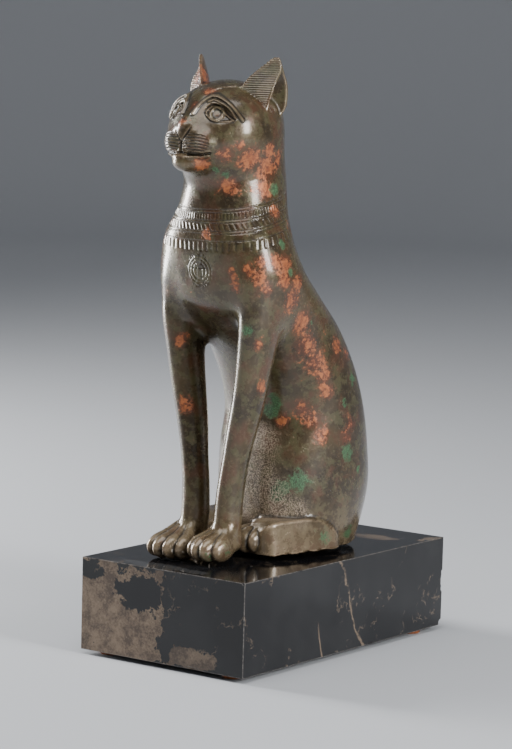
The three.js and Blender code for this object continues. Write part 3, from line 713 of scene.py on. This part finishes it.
# Where the patina has broken through: places on the skin in the cat's own frame, and how far each spreads.
orange_places = [
    (8, -68, 190, 5), (17, -61, 195, 5), (22, -50, 192, 7), (24, -38, 188, 8), (24, -40, 178, 6), (14, -54, 180, 6),
    (24, -38, 197, 5), (23, -30, 192, 5), (22, -56, 199, 3), (26, -35, 168, 4.5), (22, -28, 160, 4),
    (27, -54, 141, 4), (31, -51, 138, 4.5), (32, -49, 145, 5), (34, -43, 145, 5), (35, -37, 144, 6), (36, -38, 136, 5),
    (36, -28, 135, 5), (33, -47, 132, 4), (35, -31, 127, 7), (33, -20, 115, 7), (31, -14, 104, 7.5), (32, -8, 95, 6.5),
    (32, -2, 88, 5.5), (32, 1, 80, 4.5), (32, 8, 102, 5), (30, 18, 98, 4.5), (16, -14, 66, 5), (25, -9, 72, 5),
    (28, -5, 66, 5.5), (31, -1, 59, 5.5), (34, 14, 57, 5), (34, 18, 63, 4.5), (-18, -50, 104, 4), (-14, -50, 73, 5),
    (27, -43, 85, 3.5), (29, -48, 106, 3), (5, -60, 157, 3), (19, -57, 140, 3), (21, -56, 133, 3),
    (-1, -73, 209, 3.5), (2, -66, 217, 3), (4, -58, 224, 4), (-15, -39, 230, 9),
    (-30, -20, 120, 9), (-31, 12, 90, 10), (-24, -40, 186, 8), (-8, 30, 110, 8), (-20, 40, 50, 9), (6, -5, 160, 7),
]
green_places = [
    (14, -56, 185.5, 3.5), (11, -61, 187, 3), (33, -14, 115, 2.5), (33.5, 13, 74, 3.5), (31, 21, 84, 4.5),
    (34, 15, 50.5, 5.5), (33.5, 25, 40, 2.5), (34, 18, 48, 4), (13, -15, 70, 6), (13.5, -16, 76, 4), (19, -17, 32, 7),
    (33, -37, 153, 4), (27, -52, 113, 4), (26, -11, 38, 7), (12, -62, 6, 5), (16, -56, 8, 5), (18, -20, 8, 5),
    (29, 0, 9, 7), (29, 22, 10, 6), (36, -34, 140, 3), (24, -33, 178, 4), (-32, 0, 60, 8), (-20, 30, 90, 8),
]
rough_places = [
    (3, -22, 26, 12), (11, -21, 32, 11), (8, -21, 42, 10), (17, -18, 24, 10), (9, -19, 56, 9), (25, -12, 22, 7),
    (-11, -21, 30, 11), (0, -22, 60, 9),
]


def near_places(points, places):
    """How strongly each point belongs to any of the places: the largest of exp(-(distance/spread)^2)."""
    strength = np.zeros(len(points))
    for x, y, z, spread in places:
        away = ((points - (x, y, z)) ** 2).sum(1) / spread**2
        strength = np.maximum(strength, np.exp(-away))
    return strength


def bend_of(form, points, step):
    """How sharply the surface bends outwards: the sum of the form's second differences along the axes."""
    total = -6 * form(*points.T)
    for axis in range(3):
        move = np.zeros(3)
        move[axis] = step
        total += form(*(points + move).T) + form(*(points - move).T)
    return total / step**2


def paint(mesh, name, values):
    """Keeps one number for each point on the mesh, for its material."""
    mesh.attributes.new(name, "FLOAT", "POINT").data.foreach_set("value", values.astype(np.float32))


bend = bend_of(cat_form, cat_points, 0.9)
paint(cat.data, "orange", near_places(cat_points, orange_places))
paint(cat.data, "green", near_places(cat_points, green_places))
paint(cat.data, "rough", near_places(cat_points, rough_places))
paint(cat.data, "edge", np.clip(bend / 0.7, 0, 1))
paint(cat.data, "crevice", np.clip(-bend / 0.7, 0, 1))
paint(cat.data, "engraved", -engraving(*cat_points.T) / 0.3)


# A finish is worked out as sums over each point of a surface. A value stands for one socket of a
# material, so sums on values become Math nodes.
class Value:
    """One socket of a material. Arithmetic on it adds Math nodes."""

    def __init__(self, tree, socket):
        self.tree = tree
        self.socket = socket

    def node(self, kind, settings, inputs, output=0):
        """Adds a node of that type, sets its settings and then its sockets, and gives one of its outputs."""
        made = self.tree.nodes.new(kind)
        for name, setting in settings.items():
            setattr(made, name, setting)
        for name, given in inputs.items():
            if isinstance(given, Value):
                self.tree.links.new(given.socket, made.inputs[name])
            else:
                made.inputs[name].default_value = given
        return Value(self.tree, made.outputs[output])

    def math(self, operation, *others):
        sockets = dict(enumerate((self, *others)))
        return self.node("ShaderNodeMath", {"operation": operation}, sockets)

    def __add__(self, other):
        return self.math("ADD", other)

    def __radd__(self, other):
        return self + other

    def __sub__(self, other):
        return self.math("SUBTRACT", other)

    def __rsub__(self, other):
        return self * -1 + other

    def __mul__(self, other):
        return self.math("MULTIPLY", other)

    def __rmul__(self, other):
        return self * other

    def __truediv__(self, other):
        return self.math("DIVIDE", other)

    def __abs__(self):
        return self.math("ABSOLUTE")

    def most(self, other):
        return self.math("MAXIMUM", other)

    def rise(self, low, high):
        """0 below low, 1 above high and a smooth rise between them. With low above high it falls."""
        ends = {0: self, 1: low, 2: high, 3: 0.0, 4: 1.0}
        return self.node("ShaderNodeMapRange", {"interpolation_type": "SMOOTHSTEP"}, ends)

    def mix(self, first, second):
        """The first colour where the value is 0 and the second where it is 1."""
        colours = [c if isinstance(c, Value) else (*c, 1) for c in (first, second)]
        settings = {"data_type": "RGBA", "clamp_factor": True}
        return self.node("ShaderNodeMix", settings, {0: self, 6: colours[0], 7: colours[1]}, 2)

    def noise(self, scale, detail=3.0, roughness=0.55):
        """Cloudy noise from 0 to 1 over the place that the value stands for."""
        inputs = {"Vector": self, "Scale": scale, "Detail": detail, "Roughness": roughness}
        return self.node("ShaderNodeTexNoise", {}, inputs)

    def grown(self, factor):
        """The place with its measures multiplied."""
        return self.node("ShaderNodeVectorMath", {"operation": "SCALE"}, {0: self, "Scale": factor})

    def axes(self):
        """The three parts of the place that the value stands for."""
        made = self.node("ShaderNodeSeparateXYZ", {}, {0: self})
        return [Value(self.tree, s) for s in made.socket.node.outputs]

    def painted(self, name):
        """A number painted on the mesh."""
        settings = {"attribute_type": "GEOMETRY", "attribute_name": name}
        return self.node("ShaderNodeAttribute", settings, {}, 2)

    def bumped(self, distance):
        """A normal for the shader from the value as a height, 1 of it being the distance in metres."""
        return self.node("ShaderNodeBump", {}, {"Height": self, "Distance": distance, "Strength": 1.0})


def new_finish(name):
    """A material with one shader, and the place of each of its points as a value, in metres."""
    material = bpy.data.materials.new(name)
    material.use_nodes = True
    tree = material.node_tree
    shader = next(n for n in tree.nodes if n.type == "BSDF_PRINCIPLED")
    coordinates = tree.nodes.new("ShaderNodeTexCoord")
    return material, shader, Value(tree, coordinates.outputs["Object"])


def put(shader, **sockets):
    """Sets the shader's sockets, by name with underscores for spaces."""
    for name, given in sockets.items():
        socket = shader.inputs[name.replace("_", " ")]
        if isinstance(given, Value):
            given.tree.links.new(given.socket, socket)
        else:
            socket.default_value = given


bronze, shader, place = new_finish("patinated_bronze")
away = place.node("ShaderNodeVectorMath", {"operation": "SUBTRACT"}, {
    0: place, 1: (0, cat_pivot * MM, plinth_high[2]),
})
spot = away.node("ShaderNodeMapping", {"vector_type": "POINT"}, {
    "Vector": away.grown(1 / MM), "Rotation": (0, 0, cat_turn), "Location": (0, cat_pivot, 0),
})
height = spot.axes()[2]
clouds = spot.noise(0.045, 4.0, 0.6)
blotches = spot.noise(0.09, 4.0, 0.6)
mottle = spot.noise(0.16, 5.0, 0.65)
flecks = spot.noise(0.55, 4.0, 0.7)
grains = spot.noise(1.6, 3.0, 0.7)
pits = spot.node("ShaderNodeTexVoronoi", {}, {"Vector": spot, "Scale": 0.55}, 0)
orange, green, rough = (place.painted(name) for name in ("orange", "green", "rough"))
edge, crevice, engraved = (place.painted(name) for name in ("edge", "crevice", "engraved"))
ragged = (mottle - 0.5) * 2.4 + (flecks - 0.5) * 2.0 + (blotches - 0.5) * 0.8

# Brown metal under clouds of olive and red-brown, with tan specks, and paler towards the feet.
colour = clouds.rise(0.35, 0.68).mix((0.042, 0.029, 0.015), (0.105, 0.070, 0.031))
colour = (mottle.rise(0.45, 0.60) * 0.65).mix(colour, (0.105, 0.096, 0.042))
colour = (blotches.rise(0.50, 0.66) * 0.6).mix(colour, (0.100, 0.036, 0.021))
colour = (flecks.rise(0.52, 0.70) * 0.45).mix(colour, (0.22, 0.165, 0.095))
colour = (height.rise(34.0, 4.0) * (0.25 + mottle.rise(0.4, 0.6) * 0.5)).mix(colour, (0.24, 0.175, 0.105))

# Red-brown and orange where the patina has broken through, and spots of green.
colour = ((orange + ragged * 0.6).rise(0.2, 0.8) * 0.8).mix(colour, (0.165, 0.050, 0.026))
bright = (orange + ragged).rise(0.60, 0.92).most(ragged.rise(0.62, 0.85) * 0.7)
colour = bright.mix(colour, flecks.rise(0.38, 0.62).mix((0.25, 0.070, 0.028), (0.50, 0.165, 0.058)))
mossy = (green + ragged * 0.7).rise(0.50, 0.85)
colour = (mossy * 0.85).mix(colour, grains.rise(0.4, 0.6).mix((0.025, 0.062, 0.024), (0.085, 0.22, 0.095)))

# Pale grit in the rough hollow by the knee, and worn edges. The hollows and the engraved lines are darkened almost to
# black: partly dirt, partly painted shade.
grit = grains.rise(0.44, 0.60) * (rough + ragged * 0.25).rise(0.15, 0.75)
colour = grit.mix(colour, (0.40, 0.31, 0.22))
worn = edge.rise(0.2, 0.9) * (0.3 + flecks) * height.rise(240.0, 10.0).most(0.45)
colour = (worn * 0.7).mix(colour, (0.38, 0.28, 0.18))
# Near-black in the concave hollows and the engraved grooves: partly dirt, partly painted shade.
dirt_and_painted_shade = (crevice.rise(0.15, 0.8) * 0.75).most(engraved.rise(0.25, 0.95) * 0.75)
colour = dirt_and_painted_shade.mix(colour, (0.014, 0.011, 0.008))

relief = (grains - 0.5) * (rough * 0.6 + 0.035) + (flecks - 0.5) * 0.09 + (mottle - 0.5) * 0.14
relief = relief - pits.rise(0.32, 0.12) * mottle.rise(0.5, 0.62) * 0.10
relief = relief + bright * 0.04 + mossy * (grains - 0.4) * 0.2
gloss = (mottle - 0.5) * 0.3 + bright * 0.14 + mossy * 0.22 + rough * 0.25 + dirt_and_painted_shade * 0.2 + 0.27
put(shader, Base_Color=colour, Roughness=gloss.most(0.15), Metallic=0.3, Normal=relief.bumped(MM))
put(shader, Coat_Weight=0.55, Coat_Roughness=0.13)
cat.data.materials.append(bronze)

# The plinth is one sawn and polished block of black marble, with tan patches and thin veins,
# fine bright arrises and a few small chips. It is loose under the cat and stands on the pads.
arris = 0.35
plinth_chips = [
    (48.8, 84.5, 23, 2.0), (48.8, 84.5, 27, 1.3), (48.8, 84.5, 18.5, 1.4), (48.8, 84.5, 0.5, 2.6), (47.5, -84.6, 45, 1.0),
    (-48.6, -84.4, 30, 0.9), (20, -84.5, 0, 1.4), (48.8, 20, 0, 1.3), (48.7, -40, 45.2, 0.7),
]
block_middle = (np.array(plinth_low) + np.array(plinth_high)) / 2 / MM
block_half = (np.array(plinth_high) - np.array(plinth_low)) / 2 / MM


def block_form(x, y, z):
    """Distance to the block with rounded arrises, less a ball for each chip."""
    p = np.abs(np.stack([x, y, z], 1) - block_middle) - block_half + arris
    form = np.linalg.norm(np.maximum(p, 0), axis=1) + np.minimum(p.max(1), 0) - arris
    for chip_x, chip_y, chip_z, size in plinth_chips:
        ball = np.hypot(np.hypot(x - chip_x, y - chip_y), z - chip_z - plinth_low[2] / MM) - size
        form = cut(form, -ball, 0.15)
    return form


def block_lines(half):
    """Lattice places along one axis of the block: close together at its ends, where the arrises are."""
    near_end = half - np.array([-0.6, -0.3, 0, 0.12, 0.25, 0.4, 0.6, 0.9, 1.3, 1.8, 2.4, 3.2, 4.2])
    inner = np.linspace(0, near_end.min(), max(int(near_end.min() / 5), 2) + 1)[:-1]
    outer = np.concatenate([inner, near_end[::-1]])
    return np.concatenate([-outer[:0:-1], outer])


block_axes = [block_lines(h) + m for h, m in zip(block_half, block_middle)]


def block_lattice(i, j, k):
    """Places from indices, along the block's own lines."""
    return tuple(np.interp(n, np.arange(len(a)), a) for n, a in zip((i, j, k), block_axes))


block_points, block_faces = skin(block_form, block_lattice, [len(a) - 1 for a in block_axes], 1e9)
for _ in range(3):
    slope = steepest(block_form, block_points, 0.02)
    block_points = block_points - slope * np.clip(block_form(*block_points.T), -0.3, 0.3)[:, None]
plinth = new_piece("marble_plinth", block_points * MM, block_faces, steepest(block_form, block_points, 0.02))
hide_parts("plinth")
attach(plinth, "root")

bend = bend_of(block_form, block_points, 0.15)
paint(plinth.data, "arris", np.clip(bend / 3, 0, 1))

marble, shader, place = new_finish("black_marble")
spot = place.grown(1 / MM)
x, y, z = spot.axes()
broad = spot.noise(0.035, 5.0, 0.62)
ragged = spot.noise(0.14, 6.0, 0.7)
fine = spot.noise(0.9, 4.0, 0.7)
on_front, on_top, on_side = y.rise(-83.6, -84.1), z.rise(46.6, 47.2), x.rise(47.8, 48.3)


def patch(middle_u, middle_v, half_u, half_v, u, v, wander):
    """1 inside an oval with a wandering edge and 0 outside: a falling function of the distance from its
    middle in half sizes, squared and added up, with noise added."""
    far_u, far_v = (u - middle_u) / half_u, (v - middle_v) / half_v
    return (far_u * far_u + far_v * far_v + (ragged - 0.5) * wander + (broad - 0.5) * wander).rise(1.12, 0.94)


# Tan over the left of the front, with black islands, small tan patches on top, and thin pale veins. A grey patch across
# the front of the top is a painted reflection in the polished stone.
front_patch = patch(-36, 20, 42, 30, x, z, 3.2).most(patch(20, 8, 16, 5, x, z, 2.5) * 0.7)
islands = patch(-13, 34, 13, 8, x, z, 3.5).most(patch(-44, 42, 9, 4, x, z, 2.5))
front_patch = front_patch * (1 - islands) * on_front
top_patch = patch(22, 60, 12, 6, x, y, 3.5).most(patch(46, 74, 3, 9, x, y, 3.0)) * on_top
# A painted reflection: a grey strip across the front of the top, where the polished stone mirrors its surroundings.
painted_reflection_patch = patch(-6, -78, 26, 5, x, y, 2.5) * on_top
veins = abs(spot.noise(0.02, 6.0, 0.6) - 0.5).rise(0.008, 0.0) * ragged.rise(0.46, 0.62)
long_vein = abs(y - 6 + (z - 20) * 0.5 + (broad - 0.5) * 16).rise(1.1, 0.2) * ragged.rise(0.40, 0.52)
short_vein = abs(y + 22 + (z - 10) * 0.2 + (broad - 0.5) * 8).rise(0.9, 0.1) * z.rise(22.0, 12.0)
veins = (veins * 0.7).most(long_vein.most(short_vein) * on_side)
tan = (ragged + (fine - 0.5) * 0.5).rise(0.35, 0.65).mix((0.085, 0.058, 0.040), (0.235, 0.168, 0.112))
stone = broad.rise(0.4, 0.7).mix((0.006, 0.006, 0.007), (0.014, 0.014, 0.015))
stone = front_patch.most(top_patch * 0.8).mix(stone, tan)
# The painted reflection mixes the top's front strip a third of the way to grey.
stone = (painted_reflection_patch * 0.35).mix(stone, (0.10, 0.10, 0.10))
stone = (veins * 0.8).mix(stone, (0.22, 0.16, 0.11))
worn = place.painted("arris")
stone = (worn * fine.rise(0.3, 0.6) * 0.6).mix(stone, (0.24, 0.22, 0.20))
put(shader, Base_Color=stone, Roughness=fine.rise(0.5, 0.8) * 0.08 + front_patch * 0.14 + worn * 0.2 + 0.09)
put(shader, Normal=(fine + broad * 2).bumped(0.00001))
plinth.data.materials.append(marble)

# Four small round pads of orange-brown composition are stuck under the plinth near its corners.
# Each is a punched disc with its edges a little rounded by the weight on it.
def disc(name):
    """A disc turned about its axis: its profile runs from the middle of the underside over two rounded
    edges to the middle of the top, and bulges a little between them."""
    low, high = [np.array(corner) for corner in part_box(name)]
    radius, height = (high[0] - low[0]) / 2, high[2] - low[2]
    turn = np.linspace(0, 2 * np.pi, 64, endpoint=False)
    fall = np.linspace(-np.pi / 2, np.pi / 2, 13)
    round_out, round_up = np.sign(np.cos(fall)) * np.cos(fall) ** 0.6, np.sin(fall) ** 3 * 0.5 + np.sin(fall) * 0.5
    flat = np.linspace(0.15, 0.8, 4)
    out = np.concatenate([flat, 0.8 + 0.2 * round_out[1:-1], flat[::-1]]) * radius
    rise = np.concatenate([np.full(4, -1.0), round_up[1:-1], np.full(4, 1.0)]) * height / 2 + height / 2
    rings = np.stack([
        out[:, None] * np.cos(turn) + (low[0] + high[0]) / 2,
        out[:, None] * np.sin(turn) + (low[1] + high[1]) / 2,
        np.repeat(rise[:, None], len(turn), 1) + low[2],
    ], 2)
    rows, around = len(out), len(turn)
    i, j = np.meshgrid(np.arange(rows - 1), np.arange(around), indexing="ij")
    faces = np.stack([i * around + j, i * around + (j + 1) % around,
                      (i + 1) * around + (j + 1) % around, (i + 1) * around + j], 2).reshape(-1, 4)
    ends = [list(range(around))[::-1], list(range((rows - 1) * around, rows * around))]
    made = new_piece(name + "_disc", rings.reshape(-1, 3), faces.tolist() + ends)
    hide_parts(name)
    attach(made, "root")
    return made


composition, shader, place = new_finish("orange_composition")
crumbs = place.noise(900.0, 4.0, 0.7)
tint = crumbs.rise(0.4, 0.65).mix((0.20, 0.055, 0.016), (0.42, 0.14, 0.045))
put(shader, Base_Color=tint, Roughness=crumbs * 0.3 + 0.35, Normal=crumbs.bumped(0.0001))
for pad_name in ("pad_front_right", "pad_front_left", "pad_rear_left", "pad_rear_right"):
    disc(pad_name).data.materials.append(composition)

# The floor is a wide sheet of pale paper, swept up into a wall all round so that no edge shows,
# and the light is two tall softboxes at the sides and a wide one above.
flat_radius, sweep_radius, wall_height, floor_sides = 2.5, 1.0, 3.0, 96
sweep = np.linspace(0, np.pi / 2, 13)
out = np.concatenate([[1.2], flat_radius + sweep_radius * np.sin(sweep), [flat_radius + sweep_radius]])
up = np.concatenate([[0], sweep_radius * (1 - np.cos(sweep)), [wall_height]])
turn = np.linspace(0, 2 * np.pi, floor_sides, endpoint=False)
rings = np.stack([out[:, None] * np.cos(turn), out[:, None] * np.sin(turn), np.repeat(up[:, None], floor_sides, 1)], 2)
i, j = np.meshgrid(np.arange(len(out) - 1), np.arange(floor_sides), indexing="ij")
after = (j + 1) % floor_sides
quads = np.stack([i * floor_sides + j, (i + 1) * floor_sides + j,
                  (i + 1) * floor_sides + after, i * floor_sides + after], 2).reshape(-1, 4)
floor = new_piece("floor_sweep", rings.reshape(-1, 3), quads.tolist() + [list(range(floor_sides))])
paper, shader, _ = new_finish("pale_paper")
put(shader, Base_Color=(0.56, 0.575, 0.60, 1), Roughness=0.85)
floor.data.materials.append(paper)


def softbox(name, azimuth, elevation, distance, width, height, power):
    """A soft light that looks at the middle of the cat. Azimuth 0 is in front of it, positive to its left."""
    light = bpy.data.lights.new(name, "AREA")
    light.shape, light.size, light.size_y, light.energy = "RECTANGLE", width, height, power
    made = bpy.data.objects.new(name, light)
    a, e = math.radians(azimuth), math.radians(elevation)
    way = Vector((math.sin(a) * math.cos(e), -math.cos(a) * math.cos(e), math.sin(e)))
    made.location = Vector((0, 0, 0.17)) + way * distance
    made.rotation_euler = way.to_track_quat("Z", "Y").to_euler()
    bpy.context.scene.collection.objects.link(made)


softbox("right_side_softbox", -84, 10, 1.15, 0.30, 0.74, 26)
softbox("left_side_softbox", 84, 16, 1.2, 0.30, 0.5, 14)
softbox("top_softbox", 20, 68, 1.5, 1.2, 1.2, 16)
world = bpy.data.worlds.new("studio")
world.use_nodes = True
world.node_tree.nodes["Background"].inputs["Color"].default_value = (0.5, 0.52, 0.56, 1)
world.node_tree.nodes["Background"].inputs["Strength"].default_value = 0.3
bpy.context.scene.world = world
